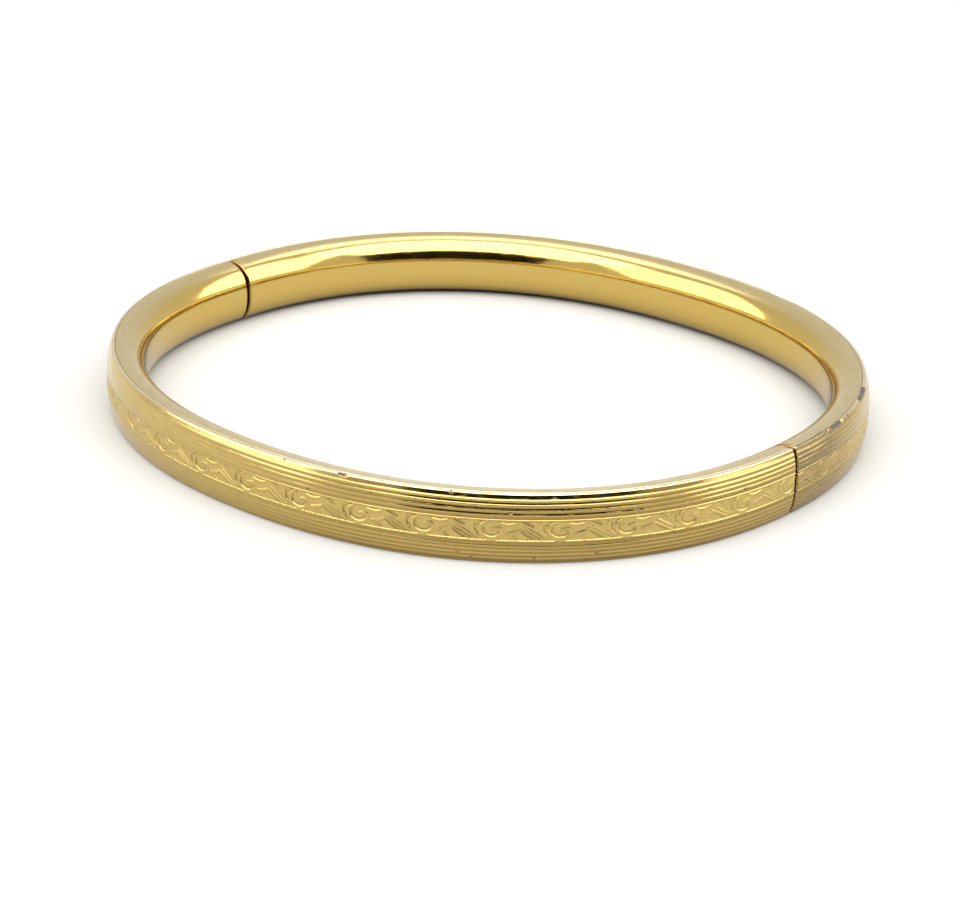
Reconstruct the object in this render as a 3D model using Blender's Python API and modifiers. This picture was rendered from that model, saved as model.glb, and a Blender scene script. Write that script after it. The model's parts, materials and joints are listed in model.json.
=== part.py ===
"""Hinged oval bangle: two hollow half bands with a five-knuckle hinge and a spring tongue clasp.

The bangle lies flat on z = 0. The long axis runs along X, with the clasp at +X and the hinge at -X.
The front half is at -Y. The back half is at +Y and swings open about the hinge pin.
"""

import math

import bpy
import bmesh
from mathutils import Matrix, Vector

MM = 0.001

# The band: an oval outline at the crown of its outer face, and a D-shaped section
HALF_LENGTH = 31.5 * MM
HALF_WIDTH = 29.37 * MM
OUTLINE_POWER = 2.154  # 2 would be an ellipse
BAND_HEIGHT = 5.46 * MM
BAND_DEPTH = 3.30 * MM
CROWN_DROP = 0.456 * MM  # from the crown of the outer face in to its two edges
CROWN_POWER = 2.99
DOME_POWER = 2.45
DOME_FULLNESS = 1.0044  # widens the dome a little, which leaves a true flat on each side face
WALL = 0.38 * MM
STRIP_BACK = 0.516 * MM  # the strip's flat back, measured in from the crown
STRIP_LIP = 0.716 * MM  # how far in the strip's two edges wrap over the side faces
SOLDER_GAP = 0.03 * MM
SEAM_GAP = 0.22 * MM
OUTLINE_STEPS = 96
CROWN_STEPS = 10
DOME_STEPS = 12

# The hinge: the pin stands upright at the outer corner of the band
OPEN_DEG = 60
NOTCH_DEG = 33
BARREL_RADIUS = 0.75 * MM
BARREL_HEIGHT = 4.4 * MM
KNUCKLES = 5
KNUCKLE_GAP = 0.05 * MM
BORE_RADIUS = 0.35 * MM
PIN_RADIUS = 0.32 * MM
PIN_HEAD_RADIUS = 0.42 * MM
PIN_HEAD_HEIGHT = 0.10 * MM
KNUCKLE_CHAMFER = 0.06 * MM
HEAD_GAP = 0.02 * MM  # between each pin head and the end knuckle
BARREL_STEPS = 28
RECESS_STEPS = 32
RECESS_RADIUS = BARREL_RADIUS + 0.05 * MM
RECESS_HEIGHT = BARREL_HEIGHT + 0.26 * MM
LEAF_THICKNESS = 0.32 * MM
LEAF_LENGTH = 3.4 * MM
LEAF_HEIGHT = 4.2 * MM
LEAF_STEPS = 5

# The end plates that close the tubes
PLATE_THICKNESS = 0.5 * MM
PLATE_SET_BACK = 0.03 * MM

# The clasp, with each height measured in from the crown
SLOT_TOP = 0.88 * MM
SLOT_BOTTOM = 1.94 * MM
SLOT_WIDTH = 2.64 * MM
BLADE_TOP = 1.58 * MM
BLADE_BOTTOM = 1.88 * MM
BLADE_WIDTH = 2.5 * MM
BLADE_ROOT = 2.2 * MM
BLADE_REACH = 4.33 * MM
NOSE_TOP = 1.25 * MM
NOSE_BACK = 4.10 * MM
SPRING_TOP = 1.23 * MM
SPRING_THICKNESS = 0.22 * MM
SPRING_WIDTH = 2.3 * MM
SPRING_FREE_END = 0.25 * MM
FOLD_REACH = 3.95 * MM
CATCH_RISE = 0.30 * MM  # how far the spring's bend stands above the rest of it
CATCH_FOOT = 0.74 * MM  # where the bend starts to rise, and the three corners that follow
CATCH_EDGE = 0.98 * MM
CATCH_CREST_END = 1.36 * MM
CATCH_END = 1.80 * MM
BOX_FLOOR_TOP = 1.96 * MM
BOX_FLOOR_BOTTOM = 2.18 * MM
BOX_WALL_TOP = 0.95 * MM
BOX_INNER_WIDTH = 2.72 * MM
BOX_OUTER_WIDTH = 3.12 * MM
BOX_START = 0.69 * MM
BOX_END = 4.70 * MM

# Derived places
MID_Z = BAND_HEIGHT / 2
LINER_START = STRIP_LIP + SOLDER_GAP
PLUG_START = STRIP_BACK + SOLDER_GAP
BARREL_PROUD = BARREL_RADIUS - CROWN_DROP
CENTRE_X = BARREL_PROUD / 2  # puts the middle of the whole object's length at x = 0
CLASP_X = CENTRE_X + HALF_LENGTH
PIN_X = CENTRE_X - HALF_LENGTH + CROWN_DROP
PLATE_START = SEAM_GAP / 2 + PLATE_SET_BACK
FOLD_X = CLASP_X - SPRING_TOP - SPRING_THICKNESS / 2

# Outlines are filled at this size, because Blender's fill merges points that are under 0.03 units apart
DRAWING_SCALE = 1000
WELD = 0.001  # at drawing scale

SHARP_DEG = 35
ARC_STEPS = 6

GOLD = (0.83, 0.62, 0.27, 1)
PALE_GOLD = (0.86, 0.68, 0.36, 1)
BRASS = (0.71, 0.55, 0.26, 1)
STEEL = (0.62, 0.61, 0.58, 1)


def clear_scene():
    for obj in list(bpy.data.objects):
        bpy.data.objects.remove(obj)


def collection(name):
    made = bpy.data.collections.new(name)
    bpy.context.scene.collection.children.link(made)
    return made


def material(name, colour, roughness):
    made = bpy.data.materials.new(name)
    made.use_nodes = True
    shader = made.node_tree.nodes["Principled BSDF"]
    shader.inputs["Base Color"].default_value = colour
    shader.inputs["Metallic"].default_value = 1
    shader.inputs["Roughness"].default_value = roughness
    return made


def part(name, mesh, colour, roughness):
    obj = bpy.data.objects.new(name, mesh)
    parts.objects.link(obj)
    mesh.materials.append(material(name, colour, roughness))
    mesh.shade_smooth()
    mesh.set_sharp_from_angle(angle=math.radians(SHARP_DEG))
    return obj


def cutter(name, mesh):
    obj = bpy.data.objects.new(name, mesh)
    cutters.objects.link(obj)
    obj.hide_render = True
    obj.display_type = "WIRE"
    return obj


def cut(obj, *tools):
    for tool in tools:
        modifier = obj.modifiers.new(tool.name, "BOOLEAN")
        modifier.operation = "DIFFERENCE"
        modifier.solver = "EXACT"
        modifier.object = tool


def drawn_curve(points):
    """A closed flat curve through the points, at drawing scale."""
    curve = bpy.data.curves.new("drawing", "CURVE")
    curve.dimensions = "2D"
    curve.fill_mode = "BOTH"
    spline = curve.splines.new("POLY")
    spline.points.add(len(points) - 1)
    for spot, (x, y) in zip(spline.points, points):
        spot.co = (x * DRAWING_SCALE, y * DRAWING_SCALE, 0, 1)
    spline.use_cyclic_u = True
    return curve


def mesh_of_curve(curve):
    """The curve's mesh, welded, facing out and brought back to real size."""
    drawing = bpy.data.objects.new("drawing", curve)
    bpy.context.scene.collection.objects.link(drawing)
    graph = bpy.context.evaluated_depsgraph_get()
    mesh = bpy.data.meshes.new_from_object(drawing.evaluated_get(graph))
    bpy.data.objects.remove(drawing)
    sheet = bmesh.new()
    sheet.from_mesh(mesh)
    bmesh.ops.remove_doubles(sheet, verts=sheet.verts, dist=WELD)
    bmesh.ops.recalc_face_normals(sheet, faces=sheet.faces)
    bmesh.ops.scale(sheet, vec=Vector((1, 1, 1)) / DRAWING_SCALE, verts=sheet.verts)
    sheet.to_mesh(mesh)
    sheet.free()
    return mesh


def extruded(points, low, high):
    """A closed outline in plan, extruded from height low to height high."""
    curve = drawn_curve(points)
    curve.extrude = (high - low) / 2 * DRAWING_SCALE
    mesh = mesh_of_curve(curve)
    mesh.transform(Matrix.Translation((0, 0, (low + high) / 2)))
    return mesh


def extruded_along_y(section, start, end):
    """A closed section of (x, z) points, extruded from y = start to y = end."""
    mesh = extruded(section, -end, -start)
    mesh.transform(Matrix.Rotation(math.radians(90), 4, "X"))
    return mesh


def outline_point(angle, depth=0.0):
    """The point at this angle of the oval, moved in from the crown by depth, square to the band."""
    reach = (
        abs(math.cos(angle) / HALF_LENGTH) ** OUTLINE_POWER
        + abs(math.sin(angle) / HALF_WIDTH) ** OUTLINE_POWER
    ) ** (-1 / OUTLINE_POWER)
    spot = Vector((reach * math.cos(angle), reach * math.sin(angle)))
    outward = Vector(
        (
            math.copysign(abs(spot.x / HALF_LENGTH) ** (OUTLINE_POWER - 1) / HALF_LENGTH, spot.x),
            math.copysign(abs(spot.y / HALF_WIDTH) ** (OUTLINE_POWER - 1) / HALF_WIDTH, spot.y),
        )
    ).normalized()
    spot -= outward * depth
    return spot.x + CENTRE_X, spot.y


def whole_ring(section):
    """The section, as (depth, height) points, swept round the whole oval."""
    path = drawn_curve([outline_point(math.tau * i / OUTLINE_STEPS) for i in range(OUTLINE_STEPS)])
    profile = bpy.data.objects.new("section", drawn_curve(section))
    bpy.context.scene.collection.objects.link(profile)
    path.bevel_mode = "OBJECT"
    path.bevel_object = profile
    mesh = mesh_of_curve(path)
    bpy.data.objects.remove(profile)
    return mesh


def strip_section():
    """The engraved strip: a crowned outer face on a flat back, with a lip along each edge."""
    steps = [2 * i / CROWN_STEPS - 1 for i in range(CROWN_STEPS + 1)]
    crown = [(CROWN_DROP * abs(s) ** CROWN_POWER, MID_Z * (1 + s)) for s in steps]
    return crown + [
        (STRIP_LIP, BAND_HEIGHT),
        (STRIP_LIP, BAND_HEIGHT - WALL),
        (STRIP_BACK, BAND_HEIGHT - WALL),
        (STRIP_BACK, WALL),
        (STRIP_LIP, WALL),
        (STRIP_LIP, 0),
    ]


def dome(start, depth, half_height, fullness=1.0):
    """The D-shaped curve of the band's inner side, from its top edge round to its bottom edge."""
    flat_end = math.acos(DOME_FULLNESS ** (-DOME_POWER / 2))
    span = math.pi - 2 * flat_end
    angles = [0] + [flat_end + span * i / DOME_STEPS for i in range(DOME_STEPS + 1)] + [math.pi]
    points = []
    for angle in angles:
        across = abs(math.sin(angle)) ** (2 / DOME_POWER)
        up = min(1, fullness * abs(math.cos(angle)) ** (2 / DOME_POWER))
        z = MID_Z + math.copysign(half_height * up, math.cos(angle))
        points.append((start + (depth - start) * across, z))
    return points


def liner_section():
    outer = dome(LINER_START, BAND_DEPTH, MID_Z, DOME_FULLNESS)
    inner = dome(LINER_START, BAND_DEPTH - WALL, MID_Z - WALL)
    return outer + inner[::-1]


def box_mesh(low, high):
    """A box between two corners."""
    made = bmesh.new()
    low, high = Vector(low), Vector(high)
    bmesh.ops.create_cube(made, size=1, matrix=Matrix.Translation((low + high) / 2))
    bmesh.ops.scale(
        made,
        vec=high - low,
        space=Matrix.Translation(-(low + high) / 2),
        verts=made.verts,
    )
    mesh = bpy.data.meshes.new("box")
    made.to_mesh(mesh)
    made.free()
    return mesh


def seam_cutter(name, side):
    """A box over the half of the bangle on this side of the seam plane, and over the seam gap."""
    reach = 2 * HALF_LENGTH
    near = -side * SEAM_GAP / 2
    low_y, high_y = sorted((near, side * reach))
    return cutter(name, box_mesh((-reach, low_y, -MID_Z), (reach, high_y, BAND_HEIGHT + MID_Z)))


def hinge_recess_cutter():
    """A round bar about the pin axis, which leaves room for the knuckles."""
    made = bmesh.new()
    bmesh.ops.create_cone(
        made,
        cap_ends=True,
        segments=RECESS_STEPS,
        radius1=RECESS_RADIUS,
        radius2=RECESS_RADIUS,
        depth=RECESS_HEIGHT,
        matrix=Matrix.Translation((PIN_X, 0, MID_Z)),
    )
    mesh = bpy.data.meshes.new("hinge_recess")
    made.to_mesh(mesh)
    made.free()
    return cutter("hinge_recess", mesh)


def hinge_notch_cutter():
    """A wedge with its edge on the pin axis, which lets the strips' ends swing past each other."""
    reach = 2 * BARREL_RADIUS
    half_mouth = reach * math.tan(math.radians(NOTCH_DEG))
    wedge = [(PIN_X, 0), (PIN_X - reach, half_mouth), (PIN_X - reach, -half_mouth)]
    return cutter("hinge_notch", extruded(wedge, -MID_Z, BAND_HEIGHT + MID_Z))


def half_band(half, ring_of, seam):
    """One half's engraved strip and inner liner."""
    strip = part(half + "_engraved_strip", ring_of["strip"].copy(), GOLD, 0.28)
    cut(strip, seam, hinge_recess, hinge_notch)
    liner = part(half + "_inner_liner", ring_of["liner"].copy(), PALE_GOLD, 0.15)
    cut(liner, seam)
    return [strip, liner]


def plate_section(end_x, inward):
    """The inside of the tube at one end of the oval, where inward is the X direction to the centre."""
    curve = dome(PLUG_START, BAND_DEPTH - WALL - SOLDER_GAP, MID_Z - WALL - SOLDER_GAP)
    return [(end_x + inward * depth, z) for depth, z in curve]


def end_plate(name, end_x, inward, side, *tools):
    start, end = sorted((side * PLATE_START, side * (PLATE_START + PLATE_THICKNESS)))
    plate = part(name, extruded_along_y(plate_section(end_x, inward), start, end), BRASS, 0.35)
    cut(plate, *tools)
    return plate


def hinge_leaf(name, side):
    """A curved strip soldered under the outer face, which carries this half's knuckles."""
    near = math.pi - side * math.asin(BARREL_RADIUS / 2 / HALF_WIDTH)
    far = math.pi - side * math.asin((BARREL_RADIUS + LEAF_LENGTH) / HALF_WIDTH)
    angles = [near + (far - near) * i / LEAF_STEPS for i in range(LEAF_STEPS + 1)]
    top = STRIP_BACK + 2 * SOLDER_GAP
    outer = [outline_point(angle, top) for angle in angles]
    inner = [outline_point(angle, top + LEAF_THICKNESS) for angle in angles]
    low = MID_Z - LEAF_HEIGHT / 2
    leaf = part(name, extruded(outer + inner[::-1], low, low + LEAF_HEIGHT), BRASS, 0.4)
    cut(leaf, hinge_recess)
    return leaf


def turned(name, profile, colour, roughness):
    """A closed (radius, z) profile turned about the hinge pin's axis."""
    ring = bmesh.new()
    spots = [ring.verts.new((radius, 0, z)) for radius, z in profile]
    for first, second in zip(spots, spots[1:] + spots[:1]):
        ring.edges.new((first, second))
    mesh = bpy.data.meshes.new(name)
    ring.to_mesh(mesh)
    ring.free()
    obj = part(name, mesh, colour, roughness)
    obj.location = (PIN_X, 0, 0)
    screw = obj.modifiers.new("turn", "SCREW")
    screw.steps = BARREL_STEPS
    screw.render_steps = BARREL_STEPS
    screw.use_merge_vertices = True
    screw.merge_threshold = 0.000001
    return obj


def hinge_knuckle(index):
    """One short tube of the hinge barrel, counted from the bottom."""
    pitch = BARREL_HEIGHT / KNUCKLES
    low = MID_Z - BARREL_HEIGHT / 2 + pitch * index + KNUCKLE_GAP / 2
    high = low + pitch - KNUCKLE_GAP
    profile = [
        (BORE_RADIUS, high),
        (BARREL_RADIUS - KNUCKLE_CHAMFER, high),
        (BARREL_RADIUS, high - KNUCKLE_CHAMFER),
        (BARREL_RADIUS, low + KNUCKLE_CHAMFER),
        (BARREL_RADIUS - KNUCKLE_CHAMFER, low),
        (BORE_RADIUS, low),
    ]
    return turned(f"hinge_knuckle_{index + 1}", profile, GOLD, 0.3)


def hinge_pin():
    """A plain pin with both of its ends riveted over."""
    low = MID_Z - BARREL_HEIGHT / 2 + KNUCKLE_GAP / 2
    high = 2 * MID_Z - low
    edge = PIN_HEAD_HEIGHT / 2
    profile = [
        (0, high + HEAD_GAP + PIN_HEAD_HEIGHT),
        (PIN_RADIUS, high + HEAD_GAP + PIN_HEAD_HEIGHT),
        (PIN_HEAD_RADIUS, high + HEAD_GAP + edge),
        (PIN_HEAD_RADIUS, high + HEAD_GAP),
        (PIN_RADIUS, high + HEAD_GAP),
        (PIN_RADIUS, low - HEAD_GAP),
        (PIN_HEAD_RADIUS, low - HEAD_GAP),
        (PIN_HEAD_RADIUS, low - HEAD_GAP - edge),
        (PIN_RADIUS, low - HEAD_GAP - PIN_HEAD_HEIGHT),
        (0, low - HEAD_GAP - PIN_HEAD_HEIGHT),
    ]
    return turned("hinge_pin", profile, STEEL, 0.35)


def slot_cutter(name, top, bottom, width):
    """A window along Y through both clasp end plates' thickness, top and bottom measured from the crown."""
    reach = 4 * PLATE_THICKNESS
    low = (CLASP_X - bottom, -reach, MID_Z - width / 2)
    high = (CLASP_X - top, reach, MID_Z + width / 2)
    return cutter(name, box_mesh(low, high))


def catch_box():
    """A U-shaped channel behind the slot, which guides the tongue."""
    floor_top, floor_bottom = CLASP_X - BOX_FLOOR_TOP, CLASP_X - BOX_FLOOR_BOTTOM
    wall_top = CLASP_X - BOX_WALL_TOP
    inner, outer = BOX_INNER_WIDTH / 2, BOX_OUTER_WIDTH / 2
    section = [
        (wall_top, MID_Z + outer),
        (floor_bottom, MID_Z + outer),
        (floor_bottom, MID_Z - outer),
        (wall_top, MID_Z - outer),
        (wall_top, MID_Z - inner),
        (floor_top, MID_Z - inner),
        (floor_top, MID_Z + inner),
        (wall_top, MID_Z + inner),
    ]
    return part("catch_box", extruded_along_y(section, -BOX_END, -BOX_START), BRASS, 0.4)


def arc(centre, radius, start_deg, end_deg):
    turn = (end_deg - start_deg) / ARC_STEPS
    angles = [math.radians(start_deg + turn * i) for i in range(ARC_STEPS + 1)]
    return [(centre[0] + radius * math.cos(a), centre[1] + radius * math.sin(a)) for a in angles]


def tongue_blade():
    """The stiff strip of the tongue: soldered into the back half, with a turned-up nose at its tip."""
    top, bottom = CLASP_X - BLADE_TOP, CLASP_X - BLADE_BOTTOM
    nose_top = CLASP_X - NOSE_TOP
    round_tip = BLADE_REACH - NOSE_BACK
    heel = (bottom + round_tip, -BLADE_REACH + round_tip)
    outline = [(bottom, BLADE_ROOT)]
    outline += arc(heel, round_tip, 180, 270)
    outline += [
        (nose_top, -BLADE_REACH),
        (nose_top, -NOSE_BACK),
        (top, -NOSE_BACK),
        (top, BLADE_ROOT),
    ]
    low = MID_Z - BLADE_WIDTH / 2
    return part("tongue_blade", extruded(outline, low, low + BLADE_WIDTH), BRASS, 0.3)


def spring_leaf():
    """The thin strip that doubles back from the tip, with the bend that snaps behind the slot's edge."""
    half = SPRING_THICKNESS / 2
    centre_line = [
        (0, SPRING_FREE_END),
        (0, CATCH_FOOT),
        (CATCH_RISE, CATCH_EDGE),
        (CATCH_RISE, CATCH_CREST_END),
        (0, CATCH_END),
    ]
    upper = [(FOLD_X + rise + half, -reach) for rise, reach in centre_line]
    lower = [(FOLD_X + rise - half, -reach) for rise, reach in centre_line]
    fold = arc((FOLD_X, -FOLD_REACH), half, 0, -180)
    low = MID_Z - SPRING_WIDTH / 2
    return part(
        "spring_leaf", extruded(upper + fold + lower[::-1], low, low + SPRING_WIDTH), BRASS, 0.25
    )


def pivot(name, x, y, parent=None):
    """An empty on a joint's axis."""
    empty = bpy.data.objects.new(name, None)
    parts.objects.link(empty)
    empty.empty_display_size = 2 * MM
    empty.matrix_world = Matrix.Translation((x, y, MID_Z))
    hold(empty, parent)
    return empty


def hold(obj, parent):
    """Parents the object and leaves it where it is."""
    if parent is None:
        return
    bpy.context.view_layer.update()
    obj.parent = parent
    obj.matrix_parent_inverse = parent.matrix_world.inverted()


clear_scene()
parts = collection("bangle_bracelet")
cutters = collection("cutters")

rings = {"strip": whole_ring(strip_section()), "liner": whole_ring(liner_section())}
hinge_recess = hinge_recess_cutter()
hinge_notch = hinge_notch_cutter()
tongue_slot = slot_cutter("tongue_slot", SLOT_TOP, SLOT_BOTTOM, SLOT_WIDTH)
blade_slot = slot_cutter(
    "blade_slot",
    BLADE_TOP - SOLDER_GAP,
    BLADE_BOTTOM + SOLDER_GAP,
    BLADE_WIDTH + 2 * SOLDER_GAP,
)

front_half = half_band("front", rings, seam_cutter("back_side", 1))
front_half += [
    end_plate("front_hinge_end_plate", CENTRE_X - HALF_LENGTH, 1, -1, hinge_recess),
    end_plate("front_clasp_end_plate", CLASP_X, -1, -1, tongue_slot),
    hinge_leaf("front_hinge_leaf", -1),
    hinge_pin(),
    catch_box(),
]
back_half = half_band("back", rings, seam_cutter("front_side", -1))
back_half += [
    end_plate("back_hinge_end_plate", CENTRE_X - HALF_LENGTH, 1, 1, hinge_recess),
    end_plate("back_clasp_end_plate", CLASP_X, -1, 1, blade_slot),
    hinge_leaf("back_hinge_leaf", 1),
    tongue_blade(),
]
for number in range(KNUCKLES):
    (back_half if number % 2 else front_half).append(hinge_knuckle(number))

back_pivot = pivot("back_half_pivot", PIN_X, 0)
back_pivot["opens_deg"] = OPEN_DEG
for piece in back_half:
    hold(piece, back_pivot)
hold(spring_leaf(), pivot("spring_leaf_pivot", FOLD_X, -FOLD_REACH, back_pivot))

for mesh in rings.values():
    bpy.data.meshes.remove(mesh)
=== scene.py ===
"""Looks of the hinged oval bangle: its rolled ornament, worn gold, studio light and camera.

Lengths are in millimetres until a mesh is made. A place on the band is given by:
  run     the distance along the crown of the outer face, from the clasp seam to the hinge seam
  ring    the same distance with a sign: negative on the front half, positive on the back half
  depth   how far in from the crown's outline, square to the band
  rise    how far above the band's middle height
"""

import json
import math

import bmesh
import bpy
import numpy as np
from mathutils import Matrix, Vector


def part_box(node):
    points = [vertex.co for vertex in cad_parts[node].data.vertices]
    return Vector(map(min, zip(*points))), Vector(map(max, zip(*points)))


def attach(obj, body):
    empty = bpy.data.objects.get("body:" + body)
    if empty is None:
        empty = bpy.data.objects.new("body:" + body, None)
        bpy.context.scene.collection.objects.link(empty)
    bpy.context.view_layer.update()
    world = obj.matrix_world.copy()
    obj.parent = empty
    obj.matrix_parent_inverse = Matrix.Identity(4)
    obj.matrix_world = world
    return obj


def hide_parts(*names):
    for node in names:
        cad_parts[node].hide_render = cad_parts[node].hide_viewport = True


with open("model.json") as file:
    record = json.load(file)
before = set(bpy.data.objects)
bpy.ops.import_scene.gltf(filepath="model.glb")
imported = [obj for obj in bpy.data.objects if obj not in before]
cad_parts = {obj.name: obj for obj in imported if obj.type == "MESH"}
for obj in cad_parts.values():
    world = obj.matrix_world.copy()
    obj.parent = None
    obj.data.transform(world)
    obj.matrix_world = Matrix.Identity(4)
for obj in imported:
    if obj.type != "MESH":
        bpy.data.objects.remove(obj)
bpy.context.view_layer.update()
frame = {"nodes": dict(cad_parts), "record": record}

MM = 0.001


def corners(node):
    """A CAD node's lowest and highest corners in millimetres."""
    low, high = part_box(node)
    return np.array(low) / MM, np.array(high) / MM


# The band's places, from the CAD model
strip_low, strip_high = corners("back_engraved_strip")
knuckle_low, knuckle_high = corners("hinge_knuckle_1")
CROWN_DROP = 0.456  # how far the outer face falls back from its middle to its edges
CROWN_POWER = 2.99
OUTLINE_POWER = 2.154
PIN_X = (knuckle_low[0] + knuckle_high[0]) / 2
HALF_LENGTH = (strip_high[0] - PIN_X + CROWN_DROP) / 2
CENTRE_X = strip_high[0] - HALF_LENGTH
HALF_WIDTH = strip_high[1]
MID_Z = strip_high[2] / 2
SEAM_HALF = strip_low[1]
LINER_START = HALF_WIDTH - corners("back_inner_liner")[1][1]
BAND_DEPTH = 3.30
WALL = 0.38
STRIP_BACK = 0.516
LIP_SINK = 0.03  # how far the strip's lips stop short of the liner
STRIP_LIP = LINER_START - LIP_SINK
DOME_POWER = 2.45
DOME_FULLNESS = 1.0044

# The window for the hinge, cut through the strips' ends
BARREL_RADIUS = (knuckle_high[0] - knuckle_low[0]) / 2
BARREL_GAP = 0.05
RECESS_RADIUS = BARREL_RADIUS + BARREL_GAP
RECESS_HALF = 2.33
WINDOW_STEP = 0.001  # the window's upper and lower edges lie between two points this far off
NOTCH_SLOPE = math.tan(math.radians(33))
HINGE_ZONE = 2.4  # how far from the hinge seam the stations are moved to follow the window

# The reeds: rises are shares of the half height, and depths are in millimetres
REED_FIRST = 0.450
REED_PITCH = 0.1270
REED_COUNT = 4
REED_DEPTH = 0.040
REED_RIDGE = 0.23  # half width of each narrow reed, as a share of the pitch
CHANNEL_START = 0.330
CHANNEL_WALL = 0.02
CHANNEL_DEPTH = 0.042
EDGE_START = 0.940  # where the bevel begins

# The scroll band and the bed that holds it
BAND_HALF = 0.80
BAND_SINK = 0.16  # how deep the bed lies
BED_HALF = BAND_HALF + 0.006
BED_WALL = 0.004
BAND_GAP = 0.01  # between the bed and the middle of the band's underside
FIELD_DEPTH = 0.065
DEEPEST_RELIEF = 0.145
BORDER = (0.085, 0.035)  # where the scrolls fade out, in from the band's edge
MOTIF_PITCH = 5.03
MOTIF_START = -1.0
MOTIF_LEFT = 0.6  # share of the pitch that lies left of the motif's middle
STROKE_WIDEN = 1.6
STROKE_RAISE = 1.20
STROKE_CUT = 0.90
STROKE_TIP = 0.35  # width of a stroke's ends, as a share of its middle

# Rounded edges
EDGE_ON_SIDE = 0.60  # how deep the bevel reaches along the side face
JOINT_ROUND = 0.03
END_ROUND = 0.15
LINER_END_ROUND = 0.20
SHARP_EDGE = math.radians(50)  # a fold steeper than this is drawn as an edge

# How finely the swept pieces are made
BAND_STATIONS, BAND_ROWS = 2050, 42
RISE_STEP = 2 * BAND_HALF / (BAND_ROWS - 1)
STRIP_STATIONS, STRIP_ROWS = 480, 84
LINER_STATIONS = 520
DOME_ROWS, HOLLOW_ROWS = 72, 17

# Wear and dirt, with painted shade in the scroll relief and a painted highlight on the side faces
PIT_DEPTH = {"reeds": 0.035, "scrolls": 0.03}
CHIP_DEEPER, CHIP_LOWER = 0.8, 0.6  # how far a chip cuts into the outer face and the side face
CHIP_REACH = 0.20
CHIP_SHOWS_BASE = (0.018, 0.04)  # depths between which a chip goes through the gold
STRIP_WAVE, LINER_WAVE = 0.006, 0.010
FIELD_GRAIN = 0.004
SCROLL_DIRT_SHADE_START = 0.35  # share of the field's depth where dirt and painted shade begin to hold
SCROLL_DIRT_SHADE_SLOPE = 2.2  # how fast a steeper wall holds more dirt and painted shade
SCROLL_DIRT_SHADE_FLAT = 0.15  # how much dirt and painted shade stays on flat ground
SEAM_DIRT_START, SEAM_DIRT_REACH = 0.03, 0.28
SIDE_FACE_RANGE = (0.72, 0.99)  # shares of the half height between which the dome turns flat
BRIGHT_PLACE = -26  # where along the ring the side face is painted palest, a painted highlight at the front on the camera's side
BRIGHT_REACH = 24

FRONT, BACK = -1, 1
BODY = {FRONT: "front_half", BACK: "back_half"}
HALF = {FRONT: "front", BACK: "back"}


# ---------------------------------------------------------------- the oval


def outline(angle):
    """Points of the crown's outline and the directions square to it."""
    reach = (
        np.abs(np.cos(angle) / HALF_LENGTH) ** OUTLINE_POWER
        + np.abs(np.sin(angle) / HALF_WIDTH) ** OUTLINE_POWER
    ) ** (-1 / OUTLINE_POWER)
    x, y = reach * np.cos(angle), reach * np.sin(angle)
    across_x = np.sign(x) * np.abs(x / HALF_LENGTH) ** (OUTLINE_POWER - 1) / HALF_LENGTH
    across_y = np.sign(y) * np.abs(y / HALF_WIDTH) ** (OUTLINE_POWER - 1) / HALF_WIDTH
    size = np.hypot(across_x, across_y)
    return x + CENTRE_X, y, across_x / size, across_y / size


ANGLES = np.linspace(0, math.pi, 8001)
oval_x, oval_y, _, _ = outline(ANGLES)
RUNS = np.concatenate([[0], np.cumsum(np.hypot(np.diff(oval_x), np.diff(oval_y)))])
HALF_RUN = RUNS[-1]
RUN_STEP = HALF_RUN / BAND_STATIONS


def placed(side, run, depth, rise):
    """Where points of the band are, in metres."""
    x, y, across_x, across_y = outline(np.interp(run, RUNS, ANGLES))
    spots = [x - across_x * depth, side * (y - across_y * depth), MID_Z + rise + 0 * x]
    return np.stack(spots, -1) * MM


def smooth(value, low, high):
    """0 below low, 1 above high and a smooth step between them."""
    share = np.clip((value - low) / (high - low), 0, 1)
    return share * share * (3 - 2 * share)


def waviness(run, rise, seed):
    """Slow hand-worked unevenness, from 0 to 1."""
    draw = np.random.default_rng(seed)
    total = 0 * run
    for _ in range(9):
        pitch_run, pitch_rise = draw.uniform(5, 23), draw.uniform(4, 14)
        total = total + np.sin(
            math.tau * (run / pitch_run + rise / pitch_rise + draw.uniform())
        )
    return np.clip(0.5 + total / 14, 0, 1)


# ---------------------------------------------------------------- wear


def scroll_crispness(ring):
    """How much of the scroll band's relief is left, round the whole ring."""
    places = (-97, -78, -52, -30, -14, 0, 12, 35, 70, 97)
    amount = (0.60, 0.50, 0.85, 1.00, 0.90, 0.66, 0.60, 0.80, 0.95, 0.85)
    return np.interp(ring, places, amount)


def reed_crispness(ring):
    """How much of the reeds' relief is left: the wearer's hand rubbed them down near the hinge."""
    places = (-97, -80, -60, -48, -36, -14, 0, 12, 35, 70, 97)
    amount = (0.40, 0.10, 0.10, 0.32, 0.85, 1.00, 0.85, 0.60, 0.75, 0.90, 0.60)
    return np.interp(ring, places, amount)


# Chips on the upper outer edge: middle along the ring, half length and depth
CHIPS = (
    (13.9, 1.75, 0.15),
    (8.9, 0.28, 0.07),
    (6.5, 1.15, 0.12),
    (4.6, 0.22, 0.06),
    (38.3, 1.70, 0.10),
    (56.8, 0.50, 0.08),
    (-37.9, 0.45, 0.07),
    (-43.0, 0.25, 0.05),
    (-29.3, 0.18, 0.06),
)

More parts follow.
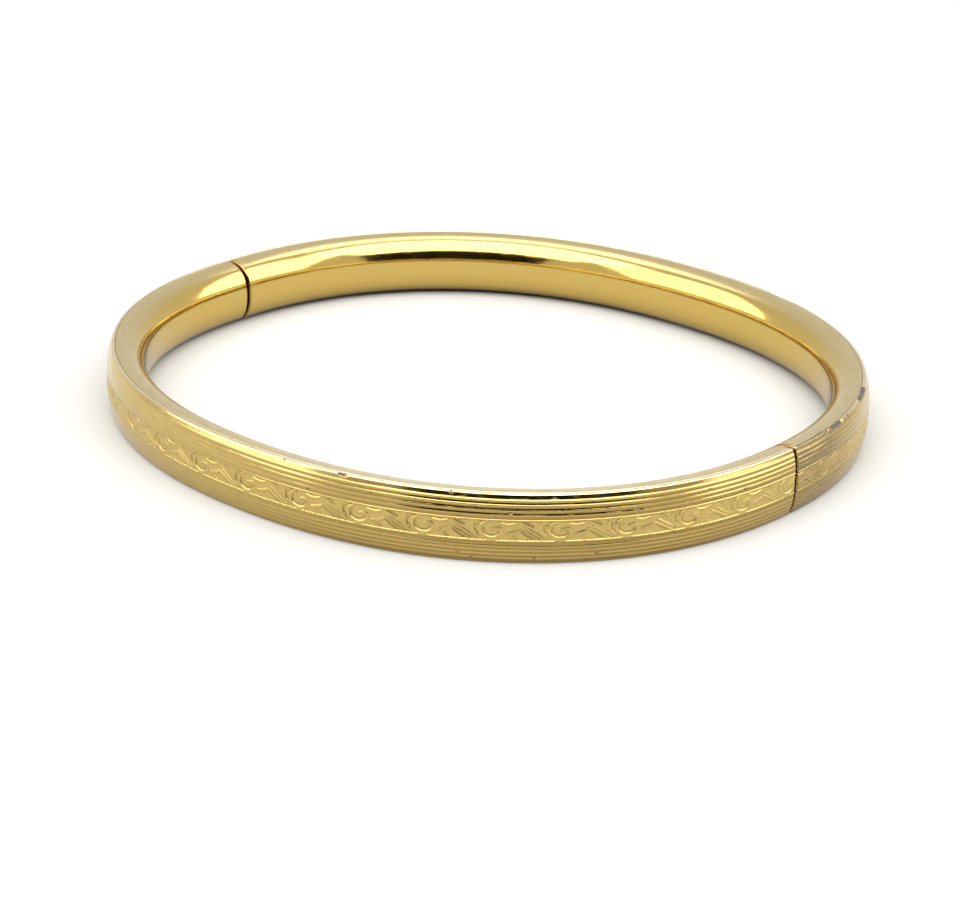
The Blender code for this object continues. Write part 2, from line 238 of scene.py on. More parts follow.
# Small pits that hold dirt: place along the ring, rise and radius
PITS = (
    (-6.0, 1.15, 0.13),
    (-9.4, 1.85, 0.12),
    (-15.4, 1.30, 0.15),
    (-24.9, 1.40, 0.10),
    (-21.7, 2.45, 0.11),
    (-28.7, 0.98, 0.09),
    (-40.5, 1.05, 0.12),
    (-35.3, 1.80, 0.08),
    (-23.1, -2.20, 0.13),
    (-18.4, -1.90, 0.10),
    (-34.6, -1.12, 0.10),
    (-57.8, 1.70, 0.12),
)
LOOSE_PITS = 90
PITTED_RING, PITTED_RISE = 97, 2.6
LOOSE_PIT_RADII = (0.04, 0.08)


def chip_shape(ring, seed):
    """How deep the upper outer edge is chipped along the ring."""
    ragged = 0.75 + 0.25 * np.sin(ring * 9.1 + seed) * np.sin(ring * 23.7)
    total = 0 * ring
    for middle, half_length, deep in CHIPS:
        inside = 1 - smooth(np.abs(ring - middle), half_length * 0.75, half_length)
        total = np.maximum(total, deep * inside * ragged)
    return total


def pitted(ring, rise):
    """How much of each point is inside a dirty pit, from 0 to 1."""
    draw = np.random.default_rng(11)
    loose = [
        (
            draw.uniform(-PITTED_RING, PITTED_RING),
            draw.uniform(-PITTED_RISE, PITTED_RISE),
            draw.uniform(*LOOSE_PIT_RADII),
        )
        for _ in range(LOOSE_PITS)
    ]
    total = 0 * ring
    for place, height, radius in PITS + tuple(loose):
        near = np.abs(ring - place) < 2 * radius
        away = np.hypot(ring[near] - place, rise[near] - height) / radius
        total[near] = np.maximum(total[near], 1 - smooth(away, 0.45, 1.15))
    return total


def tarnish(ring, rise):
    """Brown tarnish just behind the clasp seam: strong on the upper reeds, weaker below them."""
    past_seam = smooth(ring, 0, 0.4)
    on_upper_reeds = smooth(rise, 0.55, 1.2)
    patch = past_seam * (1 - smooth(ring, 3.5, 7.5)) * on_upper_reeds
    faint = 0.6 * past_seam * (1 - smooth(ring, 3.0, 12.0))
    return np.clip(patch + faint * (1 - patch), 0, 1)


# ---------------------------------------------------------------- the rolled ornament


def curve_points(start, bend, end, steps=10):
    """Points along a quadratic curve."""
    share = np.linspace(0, 1, steps)[:, None]
    start, bend, end = np.array(start), np.array(bend), np.array(end)
    return (1 - share) ** 2 * start + 2 * share * (1 - share) * bend + share**2 * end


def spiral(radius_start, radius_end, first_deg, last_deg, squash, steps=30):
    """Points along a flattened spiral about the motif's middle."""
    angle = np.radians(np.linspace(first_deg, last_deg, steps))
    radius = np.linspace(radius_start, radius_end, steps)
    return np.stack([radius * np.cos(angle), squash * radius * np.sin(angle)], 1)


# Each stroke: its line, its half width and its height, which is negative where it is cut in
STROKES = (
    (spiral(1.00, 0.66, 100, 362, 0.80), 0.13, 0.055),
    (curve_points((0.66, 0.02), (0.60, 0.30), (0.02, 0.13)), 0.12, 0.050),
    (spiral(0.76, 0.46, 150, 345, 0.72), 0.07, -0.045),
    (curve_points((0.51, 0.76), (1.19, 0.52), (1.87, 0.82)), 0.10, -0.055),
    (curve_points((0.60, 0.60), (1.19, 0.36), (1.80, 0.62)), 0.09, 0.035),
    (curve_points((1.02, -0.22), (1.50, -0.22), (1.93, 0.02)), 0.12, 0.050),
    (curve_points((1.35, -0.30), (1.40, -0.60), (1.80, -0.66)), 0.10, 0.045),
    (curve_points((-3.10, 0.16), (-2.20, -0.30), (-1.50, -0.68)), 0.08, 0.045),
    (curve_points((-2.70, 0.34), (-1.95, -0.20), (-1.10, -0.62)), 0.08, 0.050),
    (curve_points((-2.90, -0.06), (-2.30, -0.45), (-1.95, -0.70)), 0.06, -0.040),
    (curve_points((-1.42, 0.72), (-1.78, 0.05), (-1.02, -0.50)), 0.13, 0.055),
    (curve_points((-1.20, 0.50), (-1.45, 0.05), (-1.05, -0.25)), 0.06, -0.045),
    (curve_points((-2.83, 0.74), (-2.40, 0.64), (-2.04, 0.38)), 0.08, -0.050),
    (curve_points((-1.05, 0.46), (-0.72, 0.72), (-0.28, 0.80)), 0.06, -0.045),
)


def distance_to_line(x, y, line):
    """Each point's distance to a polyline, and how far along the line that is, from 0 to 1."""
    nearest = np.full(x.shape, np.inf)
    along = np.zeros(x.shape)
    for index, (start, end) in enumerate(zip(line, line[1:])):
        step = end - start
        share = ((x - start[0]) * step[0] + (y - start[1]) * step[1]) / (step @ step)
        share = np.clip(share, 0, 1)
        away = np.hypot(x - start[0] - share * step[0], y - start[1] - share * step[1])
        closer = away < nearest
        nearest[closer] = away[closer]
        along[closer] = (index + share[closer]) / (len(line) - 1)
    return nearest, along


def scroll_relief(ring, rise):
    """Height of the scroll-and-leaf ornament above its field."""
    left = MOTIF_PITCH * MOTIF_LEFT
    x = (ring - MOTIF_START + left) % MOTIF_PITCH - left
    total = 0 * x
    for shift in (-MOTIF_PITCH, 0):
        for line, half_stroke, stroke_height in STROKES:
            half_width = half_stroke * STROKE_WIDEN
            height = stroke_height * (STROKE_RAISE if stroke_height > 0 else STROKE_CUT)
            near = (x + shift > line[:, 0].min() - half_width) & (
                x + shift < line[:, 0].max() + half_width
            )
            away, along = distance_to_line(x[near] + shift, rise[near], line)
            swell = np.sin(math.pi * np.clip(along, 0.04, 0.96)) ** 0.6
            taper = STROKE_TIP + (1 - STROKE_TIP) * swell
            share = np.clip(1 - (away / (half_width * taper)) ** 2, 0, 1)
            bump = height * share**1.2
            kept = np.abs(bump) > np.abs(total[near])
            total[near] = np.where(kept, bump, total[near])
    return total


def reed_groove(share):
    """How deep the valleys between the narrow reeds are at this share of the half height, 0 to 1."""
    phase = (share - REED_FIRST) / REED_PITCH
    last = REED_COUNT - 1
    away = np.abs(phase - np.clip(np.round(phase), 0, last)) / REED_RIDGE
    valley = 1 - np.exp(-(away**2))
    rising = 1 - smooth(share, EDGE_START, 1)
    channel = smooth(share, CHANNEL_START - CHANNEL_WALL, CHANNEL_START) * CHANNEL_DEPTH / REED_DEPTH
    valley = np.where(phase > last, valley * rising, valley)
    return np.where(phase <= -0.5, channel, valley)


# ---------------------------------------------------------------- sweeping sections round the band


def window_half(depth, rise):
    """Half the width of the hinge's opening between the two strips' ends."""
    inward = CROWN_DROP - depth
    bar = np.sqrt(np.maximum(RECESS_RADIUS**2 - inward**2, 0))
    notch = np.maximum(SEAM_HALF, inward * NOTCH_SLOPE)
    return np.where(np.abs(rise) < RECESS_HALF, np.maximum(bar, notch), notch)


def stations(count):
    """Runs of the sections, closer together near the two ends."""
    near = np.array([0, 0.006, 0.016, 0.03, 0.05, 0.075, 0.105, 0.15, 0.205])
    low, high = SEAM_HALF + near, HALF_RUN - SEAM_HALF - near[::-1]
    return np.concatenate([low, np.linspace(low[-1], high[0], count)[1:-1], high])


def rounded_end(away, radius=END_ROUND):
    """How far the surface drops near a rounded end."""
    inside = np.clip(radius - away, 0, radius)
    return radius - np.sqrt(radius**2 - inside**2)


def seam_dirt(away):
    """Dirt held along the edges of the two seams, from 0 to 1."""
    return 1 - smooth(away, SEAM_DIRT_START, SEAM_DIRT_REACH)


def make_object(name, spots, faces, marks):
    """A mesh object with smooth shading and its marks stored on the points."""
    mesh = bpy.data.meshes.new(name)
    mesh.from_pydata(spots.reshape(-1, 3).tolist(), [], faces)
    for mark, values in marks.items():
        kind = "FLOAT_VECTOR" if values.ndim > 1 else "FLOAT"
        made = mesh.attributes.new(mark, kind, "POINT")
        made.data.foreach_set("vector" if values.ndim > 1 else "value", values.ravel())
    mesh.shade_smooth()
    mesh.set_sharp_from_angle(angle=SHARP_EDGE)
    obj = bpy.data.objects.new(name, mesh)
    bpy.context.scene.collection.objects.link(obj)
    return obj


def swept(name, side, run, depth, rise, caps, marks):
    """A closed section carried round one half. Arrays are stations by points of the section."""
    count, points = depth.shape
    grid = np.arange(count * points).reshape(count, points)
    after = np.roll(grid, -1, axis=1)
    quads = np.stack([grid[:-1], after[:-1], after[1:], grid[1:]], -1).reshape(-1, 4)
    faces = quads.tolist() + [grid[0][cap[::-1]].tolist() for cap in caps]
    faces += [grid[-1][cap].tolist() for cap in caps]
    if side == BACK:
        faces = [face[::-1] for face in faces]
    spots = placed(side, run, depth, rise)
    ring = np.stack([side * run, rise + depth, 0 * run], -1)
    flat = {mark: values.reshape(-1) for mark, values in marks.items()}
    flat["ring"] = ring.reshape(-1, 3)
    return make_object(name, spots, faces, flat)


def moved_runs(run, depth, rise, has_window):
    """Each point's run, moved near the hinge so that the section ends at the window's edge."""
    to_hinge = HALF_RUN - run
    if not has_window:
        return run, np.minimum(run, to_hinge) - SEAM_HALF
    goal = window_half(depth, rise)
    share = np.clip(1 - (to_hinge - SEAM_HALF) / (HINGE_ZONE - SEAM_HALF), 0, 1)
    moved = run - (goal - SEAM_HALF) * share
    to_edge = np.minimum(moved - SEAM_HALF, HALF_RUN - moved - goal)
    return moved, to_edge


def mirrored(half_path):
    """A path that starts at the middle height, made symmetric and run from bottom to top."""
    lower = [(depth, -rise) for depth, rise in half_path[:0:-1]]
    return np.array(lower + half_path)


def crown(rise):
    """How far in the plain outer face lies at this rise."""
    return CROWN_DROP * np.abs(rise / MID_Z) ** CROWN_POWER


def strip_paths():
    """The reeded strip's outer path and back path, as (depth, rise) without the relief."""
    edges = (RECESS_HALF - WINDOW_STEP, RECESS_HALF + WINDOW_STEP)
    bed = [(BAND_SINK, rise) for rise in (0, BAND_HALF / 2, BED_HALF)]
    rises = np.linspace(BED_HALF + BED_WALL, EDGE_START * MID_Z, STRIP_ROWS)
    rises = np.sort(np.append(rises, edges))
    outer = bed + [(crown(rise), rise) for rise in rises]
    slope = CROWN_DROP * CROWN_POWER * EDGE_START ** (CROWN_POWER - 1) / MID_Z
    start = (outer[-1][0], outer[-1][1])
    bend = (start[0] + slope * (MID_Z - start[1]), MID_Z)
    edge = curve_points(start, bend, (EDGE_ON_SIDE, MID_Z), 9)[1:]
    outer += [tuple(spot) for spot in edge]
    for turn in (0, 30, 60, 90):
        angle = math.radians(turn)
        outer.append(
            (
                STRIP_LIP - JOINT_ROUND * (1 - math.sin(angle)),
                MID_Z - JOINT_ROUND * (1 - math.cos(angle)),
            )
        )
    back = [(STRIP_BACK, rise) for rise in (0, *edges, MID_Z - WALL)]
    back += [(STRIP_LIP, MID_Z - WALL)]
    return mirrored(outer), mirrored(back)


def cap_faces(outer, back):
    """The end of a strip as faces between matching heights of its outer path and its back path."""
    steps = [half + step for half in (-RECESS_HALF, RECESS_HALF) for step in (-WINDOW_STEP, WINDOW_STEP)]
    front_cuts = [int(np.argmin(np.abs(outer[:, 1] - step))) for step in steps]
    back_cuts = [int(np.argmin(np.abs(back[:, 1] - step))) for step in steps]
    front_cuts = [0] + front_cuts + [len(outer) - 1]
    back_cuts = [0] + back_cuts + [len(back) - 1]
    last = len(outer) + len(back) - 1
    caps = []
    for low, high in zip(range(5), range(1, 6)):
        going_up = list(range(front_cuts[low], front_cuts[high] + 1))
        coming_down = [last - i for i in range(back_cuts[high], back_cuts[low] - 1, -1)]
        caps.append(np.array(going_up + coming_down))
    return caps


def reeded_strip(side):
    """One half's outer strip: reeds above and below, and a bed between them for the scroll band."""
    outer, back = strip_paths()
    path = np.concatenate([outer, back[::-1]])
    run = stations(STRIP_STATIONS)[:, None]
    depth, rise = path[:, 0] + 0 * run, path[:, 1] + 0 * run
    on_outer = np.arange(len(path)) < len(outer)
    share = np.abs(rise) / MID_Z
    in_relief = on_outer & (share > (BED_HALF + BED_WALL / 2) / MID_Z)
    run, to_edge = moved_runs(run + 0 * depth, depth, rise, True)
    ring = side * run
    groove = np.where(in_relief, reed_groove(share), 0)
    depth = depth + REED_DEPTH * groove * reed_crispness(ring)
    corner_depth, corner_rise = 0.47, MID_Z - 0.03
    from_corner = np.hypot(depth - corner_depth, rise - corner_rise)
    near_corner = on_outer * np.exp(-((from_corner / CHIP_REACH) ** 2))
    chip = chip_shape(ring, 1.0) * near_corner
    outside = on_outer & (path[:, 0] != BAND_SINK)
    pit = pitted(ring, rise) * in_relief * (share < EDGE_START)
    drop = rounded_end(to_edge) * outside
    flatness = smooth(np.abs(rise), EDGE_START * MID_Z, MID_Z)
    wave = STRIP_WAVE * waviness(run, rise, 3 + side) * outside
    worn = CHIP_DEEPER * chip + PIT_DEPTH["reeds"] * pit
    depth = depth + worn + (drop + wave) * (1 - flatness)
    rise = rise - np.sign(rise) * (drop * flatness + CHIP_LOWER * chip)
    bare = np.clip(smooth(chip, *CHIP_SHOWS_BASE) + pit, 0, 1)
    marks = {
        # cavity: the reeds' valleys are painted darker the deeper they are, dirt with painted shade, and
        # dirt along the seams
        "cavity": np.maximum(groove * reed_crispness(ring), seam_dirt(to_edge) * on_outer),
        "bare": bare,
        "tarnish": tarnish(ring, rise) * on_outer,
        "flank": smooth(np.abs(rise), EDGE_START * MID_Z, MID_Z) * on_outer,
    }
    name = HALF[side] + "_reeded_strip"
    return swept(name, side, run, depth, rise, cap_faces(outer, back), marks)


def scroll_dirt_and_shade(relief):
    """Dirt with painted shade held against the deep, steep walls of the cut relief, from 0 to 1."""
    along, across = np.gradient(relief, RUN_STEP, RISE_STEP)
    steepness = np.hypot(along, across)
    deep = np.clip(relief / FIELD_DEPTH - SCROLL_DIRT_SHADE_START, 0, 1)
    return deep * np.clip(steepness * SCROLL_DIRT_SHADE_SLOPE, SCROLL_DIRT_SHADE_FLAT, 1)


def scroll_band(side):
    """One half's scroll-and-leaf band, which lies in the strip's bed."""
    rises = np.linspace(-BAND_HALF, BAND_HALF, BAND_ROWS)
    bottom = [(crown(r) + BAND_SINK - BAND_GAP, r) for r in (BAND_HALF, 0, -BAND_HALF)]
    path = np.array([(crown(r), r) for r in rises] + bottom)
    run = stations(BAND_STATIONS)[:, None]
    depth, rise = path[:, 0] + 0 * run, path[:, 1] + 0 * run
    on_face = np.arange(len(path)) < len(rises)
    run, to_edge = moved_runs(run + 0 * depth, depth, rise, True)
    ring = side * run
    inner = 1 - smooth(np.abs(rise), BAND_HALF - BORDER[0], BAND_HALF - BORDER[1])
    height = scroll_relief(ring, rise + 0 * run) * inner
    field = FIELD_DEPTH * inner
    grain = FIELD_GRAIN * np.sin(ring * 41 + rise * 17) * np.sin(ring * 19 - rise * 37)
    relief = (field - height + grain * inner) * scroll_crispness(ring)
    relief = np.clip(relief, 0, DEEPEST_RELIEF)
    pit = pitted(ring, rise)
    drop = rounded_end(to_edge)
    wave = STRIP_WAVE * waviness(run, rise, 3 + side)
    depth = depth + on_face * (relief + drop + PIT_DEPTH["scrolls"] * pit + wave)
    marks = {
        # cavity: dirt with painted shade against the deep, steep walls of the cut relief, and dirt along
        # the seams
        "cavity": on_face * np.maximum(scroll_dirt_and_shade(relief), seam_dirt(to_edge)),
        "bare": on_face * pit,
        "tarnish": on_face * tarnish(ring, rise),
        "flank": 0 * depth,
        "satin": on_face * inner,
    }
    cap = np.arange(len(path))
    return swept(HALF[side] + "_scroll_band", side, run, depth, rise, [cap], marks)


def dome_path(start, depth, half_height, fullness, count):
    """The D-shaped side of the liner, from bottom to top, as (depth, rise)."""
    angle = np.linspace(math.pi, 0, count)
    across = np.abs(np.sin(angle)) ** (2 / DOME_POWER)
    up = np.minimum(1, fullness * np.abs(np.cos(angle)) ** (2 / DOME_POWER))
    return np.stack([start + (depth - start) * across, half_height * np.sign(np.cos(angle)) * up], 1)


def liner(side):
    """One half's plain liner: two flat side faces and a full dome inside the wrist opening."""
    dome = dome_path(LINER_START, BAND_DEPTH, MID_Z, DOME_FULLNESS, DOME_ROWS)
    joint = [
        (
            LINER_START + JOINT_ROUND * (1 - math.cos(math.radians(turn))),
            MID_Z - JOINT_ROUND * (1 - math.sin(math.radians(turn))),
        )
        for turn in (0, 30, 60, 90)
    ]
    lower = np.array([(depth, -rise) for depth, rise in joint])
    outer = np.concatenate([lower, dome[1:-1], np.array(joint[::-1])])
    hollow = dome_path(LINER_START, BAND_DEPTH - WALL, MID_Z - WALL, 1, HOLLOW_ROWS)
    path = np.concatenate([outer, hollow[::-1]])
    run = stations(LINER_STATIONS)[:, None]
    depth, rise = path[:, 0] + 0 * run, path[:, 1] + 0 * run
    on_outer = np.arange(len(path)) < len(outer)
    run, to_edge = moved_runs(run + 0 * depth, depth, rise, False)
    height = np.abs(rise) / MID_Z
    upright = smooth(height, 0.80, 1)
    drop = rounded_end(to_edge, LINER_END_ROUND) * on_outer
    wave = LINER_WAVE * waviness(run, rise + depth, 8 + side) * on_outer
    depth = depth - (drop + wave) * (1 - upright)
    rise = rise - np.sign(rise) * (drop + 0.3 * wave) * upright
    flat = smooth(np.abs(rise) / MID_Z, *SIDE_FACE_RANGE)
    # painted highlight on the side faces: 0 at BRIGHT_PLACE, where they are painted palest, rising to 1
    # away from it; stored as the liner's tarnish mark
    off_painted_sheen = 1 - np.exp(-(((side * run - BRIGHT_PLACE) / BRIGHT_REACH) ** 2))
    marks = {"side_face": flat * on_outer, "cavity": seam_dirt(to_edge) * on_outer, "tarnish": off_painted_sheen}
    cap = np.arange(len(path))
    return swept(HALF[side] + "_polished_liner", side, run, depth, rise, [cap], marks)


# ---------------------------------------------------------------- hinge and clasp


def turned(name, profile, segments=72):
    """A closed (radius, z) profile turned about the hinge pin."""
    sheet = bmesh.new()
    angles = np.linspace(0, math.tau, segments, endpoint=False)
    rings = []
    for angle in angles:
        spots = [
            Vector(((PIN_X + r * math.cos(angle)) * MM, r * math.sin(angle) * MM, z * MM))
            for r, z in profile
        ]
        rings.append([sheet.verts.new(spot) for spot in spots])
    for one, other in zip(rings, rings[1:] + rings[:1]):
        for i in range(len(profile)):
            j = (i + 1) % len(profile)
            sheet.faces.new((one[i], one[j], other[j], other[i]))
    bmesh.ops.remove_doubles(sheet, verts=sheet.verts, dist=1e-7)
    bmesh.ops.recalc_face_normals(sheet, faces=sheet.faces)
    mesh = bpy.data.meshes.new(name)
    sheet.to_mesh(mesh)
    sheet.free()
    mesh.shade_smooth()
    mesh.set_sharp_from_angle(angle=SHARP_EDGE)
    obj = bpy.data.objects.new(name, mesh)
    bpy.context.scene.collection.objects.link(obj)
    return obj


def round_corner(radius, z, turn_deg, size):
    """Points of a rounded corner of a turned profile, about its own middle."""
    angles = [math.radians(turn_deg + step) for step in (0, 22.5, 45, 67.5, 90)]
    return [(radius + size * math.cos(a), z + size * math.sin(a)) for a in angles]


def knuckle(node):
    """A hinge knuckle with softened rims, in place of the CAD's chamfered one."""
    low, high = corners(node)
    soft, bore, bore_edge = 0.07, 0.35, 0.03
    radius = (high[0] - low[0]) / 2
    profile = [(bore, low[2] + bore_edge), (bore + bore_edge, low[2])]
    profile += round_corner(radius - soft, low[2] + soft, 270, soft)
    profile += round_corner(radius - soft, high[2] - soft, 0, soft)
    profile += [(bore + bore_edge, high[2]), (bore, high[2] - bore_edge)]
    return turned(node + "_turned", profile)


def riveted_pin():
    """The hinge pin with both ends peened over into low domes."""
    low, high = corners("hinge_pin")
    head_radius = (high[0] - low[0]) / 2
    shank, head, crowning = 0.32, 0.10, 0.08
    quarter = [math.radians(90 * i / 8) for i in range(9)]
    upper = [(head_radius * math.sin(a), high[2] - crowning * (1 - math.cos(a))) for a in quarter]
    upper += [(head_radius, high[2] - head), (shank, high[2] - head)]
    middle = (low[2] + high[2]) / 2
    lower = [(radius, 2 * middle - z) for radius, z in upper[::-1]]
    return turned("riveted_hinge_pin", upper + lower)


def softened(name, node, width):
    """A copy of a CAD node with its edges rounded."""
    obj = bpy.data.objects.new(name, frame["nodes"][node].data.copy())
    bpy.context.scene.collection.objects.link(obj)
    weld = obj.modifiers.new("weld", "WELD")
    weld.merge_threshold = 1e-6
    bevel = obj.modifiers.new("bevel", "BEVEL")
    bevel.width = width * MM
    bevel.segments = 3
    bevel.limit_method = "ANGLE"
    bevel.angle_limit = math.radians(35)
    bevel.use_clamp_overlap = True
    bpy.context.view_layer.update()
    graph = bpy.context.evaluated_depsgraph_get()
    mesh = bpy.data.meshes.new_from_object(obj.evaluated_get(graph))
    obj.modifiers.clear()
    obj.data = mesh
    mesh.shade_smooth()
    mesh.set_sharp_from_angle(angle=SHARP_EDGE)
    return obj


# ---------------------------------------------------------------- materials


def add(tree, kind, inputs=None, **settings):
    """A shader node. An input is a value, or an output of another node to link."""
    node = tree.nodes.new("ShaderNode" + kind)
    for name, value in settings.items():
        setattr(node, name, value)
    for socket, value in (inputs or {}).items():
        if isinstance(value, bpy.types.NodeSocket):
            tree.links.new(value, node.inputs[socket])
        else:
            node.inputs[socket].default_value = value
    return node


def attribute(tree, name):
    """A mark stored on the mesh's points."""
    return add(tree, "Attribute", attribute_name=name).outputs["Fac"]


def stretched(tree, vector, scale, turn_deg=0):
    """Coordinates turned in the plane of the band's surface and then scaled."""
    turn = (0, 0, math.radians(turn_deg))
    return add(tree, "Mapping", {"Vector": vector, "Rotation": turn, "Scale": scale}).outputs[0]


def noise(tree, vector, scale=1, detail=3, roughness=0.55):
    """Smooth noise from 0 to 1. On the ring attribute the scale is a count per millimetre."""
    inputs = {"Vector": vector, "Scale": scale, "Detail": detail, "Roughness": roughness}
    return add(tree, "TexNoise", inputs).outputs["Fac"]


def ranged(tree, value, low, high, to_low=0, to_high=1):
    """The value carried from the range low..high to the range to_low..to_high, and held there."""
    inputs = {"Value": value, 1: low, 2: high, 3: to_low, 4: to_high}
    return add(tree, "MapRange", inputs).outputs["Result"]


def reckon(tree, operation, first, second):
    """One sum on two values."""
    return add(tree, "Math", {0: first, 1: second}, operation=operation).outputs[0]


def blend(tree, factor, first, second):
    """The first colour where the factor is 0, and the second where it is 1."""
    inputs = {0: factor, 6: first, 7: second}
    return add(tree, "Mix", inputs, data_type="RGBA").outputs[2]


def bumps(tree, layers):
    """Stacks bump layers, each a height, a strength and a distance in millimetres."""
    normal = None
    for height, strength, distance in layers:
        inputs = {"Height": height, "Strength": strength, "Distance": distance * MM}
        if normal is not None:
            inputs["Normal"] = normal
        normal = add(tree, "Bump", inputs).outputs[0]
    return normal


def new_material(name):
    """A new material, its node tree and its surface shader."""
    material = bpy.data.materials.new(name)
    material.use_nodes = True
    tree = material.node_tree
    return material, tree, tree.nodes["Principled BSDF"]


def roughened(tree, roughness, layers):
    """Adds to the roughness each layer's value times its amount."""
    for value, amount in layers:
        roughness = reckon(tree, "ADD", roughness, reckon(tree, "MULTIPLY", value, amount))
    return roughness


def link_surface(tree, surface, colour, roughness, normal):
    """Links what varies over the surface to its shader."""
    tree.links.new(colour, surface.inputs["Base Color"])
    tree.links.new(roughness, surface.inputs["Roughness"])
    tree.links.new(normal, surface.inputs["Normal"])


# Colours of the metals
GOLD = (0.55, 0.405, 0.14, 1)
# DEEP_GOLD: dirt along the seams, and dirt with painted shade in the reeds' valleys and the cut scroll
# relief
DEEP_GOLD = (0.22, 0.12, 0.03, 1)
# PALE_GOLD: the strip's pale side faces, and on the liner the painted highlight around BRIGHT_PLACE
PALE_GOLD = (0.74, 0.64, 0.43, 1)
SATIN_GOLD = (0.54, 0.43, 0.21, 1)
YELLOW_GOLD = (0.56, 0.395, 0.108, 1)
DULL_GOLD = (0.40, 0.30, 0.12, 1)
TARNISH = (0.20, 0.15, 0.075, 1)
BARE_METAL = (0.055, 0.045, 0.038, 1)
BRASS = (0.66, 0.47, 0.20, 1)
BRASS_STAIN = (0.27, 0.18, 0.08, 1)
STEEL = (0.52, 0.50, 0.46, 1)
STEEL_STAIN = (0.20, 0.17, 0.14, 1)


def hairlines(tree, vector, low=0.62, high=0.72):
    """Fine scratches in two directions."""
    along = noise(tree, stretched(tree, vector, (0.35, 16, 1), 12), 1, 2)
    across = noise(tree, stretched(tree, vector, (0.5, 13, 1), -38), 1, 2)
    first = ranged(tree, along, low, high)
    second = ranged(tree, across, low + 0.02, high + 0.02)
    return reckon(tree, "MAXIMUM", first, second)


def engraved_gold():
    """Worn gold over a base metal, with dirt and painted shade in the grooves, bare chips and tarnish.
    """
    material, tree, surface = new_material("worn_engraved_gold")
    ring = add(tree, "Attribute", attribute_name="ring").outputs["Vector"]
    cavity = attribute(tree, "cavity")
    patches = noise(tree, ring, 0.55, 4)
    grain = noise(tree, ring, 9, 3)
    rubbed = noise(tree, stretched(tree, ring, (0.5, 7, 1)), 1, 3)
    scratches = hairlines(tree, ring)
    grime_and_shade = reckon(tree, "MULTIPLY", cavity, ranged(tree, grain, 0.25, 0.75, 0.35, 1))
    # darker gold where the cavity mark is high: dirt with painted shade in the grooves, dirt along the
    # seams
    colour = blend(tree, grime_and_shade, GOLD, DEEP_GOLD)
    colour = blend(tree, reckon(tree, "MULTIPLY", attribute(tree, "flank"), 0.75), colour, PALE_GOLD)
    colour = blend(tree, ranged(tree, patches, 0.50, 0.78, 0, 0.45), colour, DULL_GOLD)
    streaks = ranged(tree, rubbed, 0.3, 0.6, 0.25, 1)
    stain = reckon(tree, "MULTIPLY", attribute(tree, "tarnish"), streaks)
    colour = blend(tree, stain, colour, TARNISH)
    bare = attribute(tree, "bare")
    colour = blend(tree, bare, colour, BARE_METAL)
    duller = [(scratches, 0.12), (stain, 0.18), (attribute(tree, "satin"), 0.20), (bare, 0.45)]
    roughness = roughened(tree, ranged(tree, patches, 0.3, 0.75, 0.09, 0.20), duller)
    normal = bumps(tree, [(grain, 0.35, 0.006), (rubbed, 0.25, 0.006), (scratches, 0.4, -0.004)])
    link_surface(tree, surface, colour, roughness, normal)
    tree.links.new(ranged(tree, bare, 0, 1, 1, 0.1), surface.inputs["Metallic"])
    return material


def polished_gold():
    """Bright gold on the dome, and paler scuffed gold on the flat side faces, with a painted highlight
    that makes them palest around BRIGHT_PLACE.
    """
    material, tree, surface = new_material("polished_liner_gold")
    surface.inputs["Metallic"].default_value = 1
    ring = add(tree, "Attribute", attribute_name="ring").outputs["Vector"]
    face = attribute(tree, "side_face")
    patches = noise(tree, ring, 0.35, 4)
    clouds = noise(tree, stretched(tree, ring, (0.6, 1.6, 1)), 1, 5, 0.65)
    grain = noise(tree, ring, 11, 3)
    scratches = hairlines(tree, ring, 0.63, 0.74)
    colour = blend(tree, ranged(tree, patches, 0.35, 0.75, 0, 0.35), YELLOW_GOLD, GOLD)
    # painted highlight: the side faces are PALE_GOLD around BRIGHT_PLACE and SATIN_GOLD away from it,
    # through the liner's tarnish mark
    pale = blend(tree, attribute(tree, "tarnish"), PALE_GOLD, SATIN_GOLD)
    pale = blend(tree, ranged(tree, clouds, 0.48, 0.70, 0, 0.4), pale, DULL_GOLD)
    colour = blend(tree, face, colour, pale)
    colour = blend(tree, attribute(tree, "cavity"), colour, DEEP_GOLD)
    colour = blend(tree, ranged(tree, clouds, 0.62, 0.80, 0, 0.4), colour, DULL_GOLD)
    scuffs = ranged(tree, grain, 0.2, 0.8, 0.08, 0.18)
    duller = [(face, scuffs), (scratches, 0.10)]
    roughness = roughened(tree, ranged(tree, clouds, 0.3, 0.75, 0.07, 0.17), duller)
    normal = bumps(tree, [(grain, 0.12, 0.004), (clouds, 0.25, 0.02), (scratches, 0.3, -0.003)])
    link_surface(tree, surface, colour, roughness, normal)
    return material


def plain_metal(name, clean, stain, smoothest, roughest):
    """A worked metal without stored marks: stained in patches, with file marks and grain."""
    material, tree, surface = new_material(name)
    surface.inputs["Metallic"].default_value = 1
    place = add(tree, "TexCoord").outputs["Object"]
    patches = noise(tree, place, 900, 4)
    grain = noise(tree, place, 9000, 3)
    filed = noise(tree, stretched(tree, place, (900, 9000, 14000), 20), 1, 2)
    colour = blend(tree, ranged(tree, patches, 0.42, 0.72, 0, 0.7), clean, stain)
    roughness = ranged(tree, patches, 0.3, 0.7, smoothest, roughest)
    normal = bumps(tree, [(grain, 0.25, 0.006), (filed, 0.35, 0.006)])
    link_surface(tree, surface, colour, roughness, normal)
    return material


# ---------------------------------------------------------------- building the pieces


def finish_piece(piece, body, slot, material, *nodes):
    """Gives a piece its material and its body, and hides the CAD nodes that it stands for. The slot is
    not used.
    """
    piece.data.materials.clear()
    piece.data.materials.append(material)
    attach(piece, body)
    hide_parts(*nodes)


